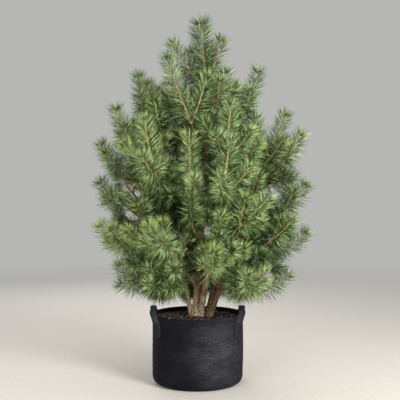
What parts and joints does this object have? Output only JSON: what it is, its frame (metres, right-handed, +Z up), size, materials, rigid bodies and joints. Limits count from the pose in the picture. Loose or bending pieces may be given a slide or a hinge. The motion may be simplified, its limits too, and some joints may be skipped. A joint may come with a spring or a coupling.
{
  "type": "potted pine tree",
  "caption": "Multi-stemmed young Scots pine with dense whorls of long-needled shoots, standing in a round black felt grow bag with webbing carrying handles.",
  "frame": {"origin": "centre of the grow bag's flat underside", "axes": "+Z up along the plant, -Y towards the front as pictured, +X to the right, with a handle on the +X side and one on the -X side"},
  "size_m": [1.0273, 0.9879, 1.699],
  "materials": {
    "felt": "matt non-woven felt",
    "webbing": "woven webbing",
    "potting_mix": "moist, crumbly, with bits of bark",
    "bark": "rough scaly bark",
    "needles": "satin"
  },
  "bodies": {
    "root": {"bough_back_left_middle": "bark", "bough_back_left_upper": "bark", "bough_back_middle": "bark", "bough_back_right_upper": "bark", "bough_front_left_lower": "bark", "bough_front_right_middle": "bark", "bough_right_lower": "bark", "bough_right_middle": "bark", "grow_bag": "felt", "handle_left": "webbing", "handle_right": "webbing", "needles_back": "needles", "needles_back_high": "needles", "needles_back_left_high": "needles", "needles_back_left_low": "needles", "needles_back_left_middle": "needles", "needles_back_left_outer": "needles", "needles_back_left_upper": "needles", "needles_back_low": "needles", "needles_back_middle": "needles", "needles_back_right_high": "needles", "needles_back_right_low": "needles", "needles_back_right_middle": "needles", "needles_back_right_upper": "needles", "needles_front": "needles", "needles_front_centre": "needles", "needles_front_foot": "needles", "needles_front_high": "needles", "needles_front_left_high": "needles", "needles_front_left_low": "needles", "needles_front_left_lower": "needles", "needles_front_left_middle": "needles", "needles_front_low": "needles", "needles_front_middle": "needles", "needles_front_right_centre": "needles", "needles_front_right_low": "needles", "needles_front_right_middle": "needles", "needles_front_right_side": "needles", "needles_front_right_upper": "needles", "needles_left": "needles", "needles_left_high": "needles", "needles_left_low": "needles", "needles_left_lower": "needles", "needles_left_middle": "needles", "needles_left_outer": "needles", "needles_left_upper": "needles", "needles_right": "needles", "needles_right_high": "needles", "needles_right_low": "needles", "needles_right_lower": "needles", "needles_right_middle": "needles", "needles_right_outer": "needles", "needles_right_upper": "needles", "needles_trunk": "needles", "potting_mix": "potting_mix", "stem_back": "bark", "stem_front": "bark", "stem_left": "bark", "stem_right": "bark", "trunk": "bark"}
  },
  "joints": []
}
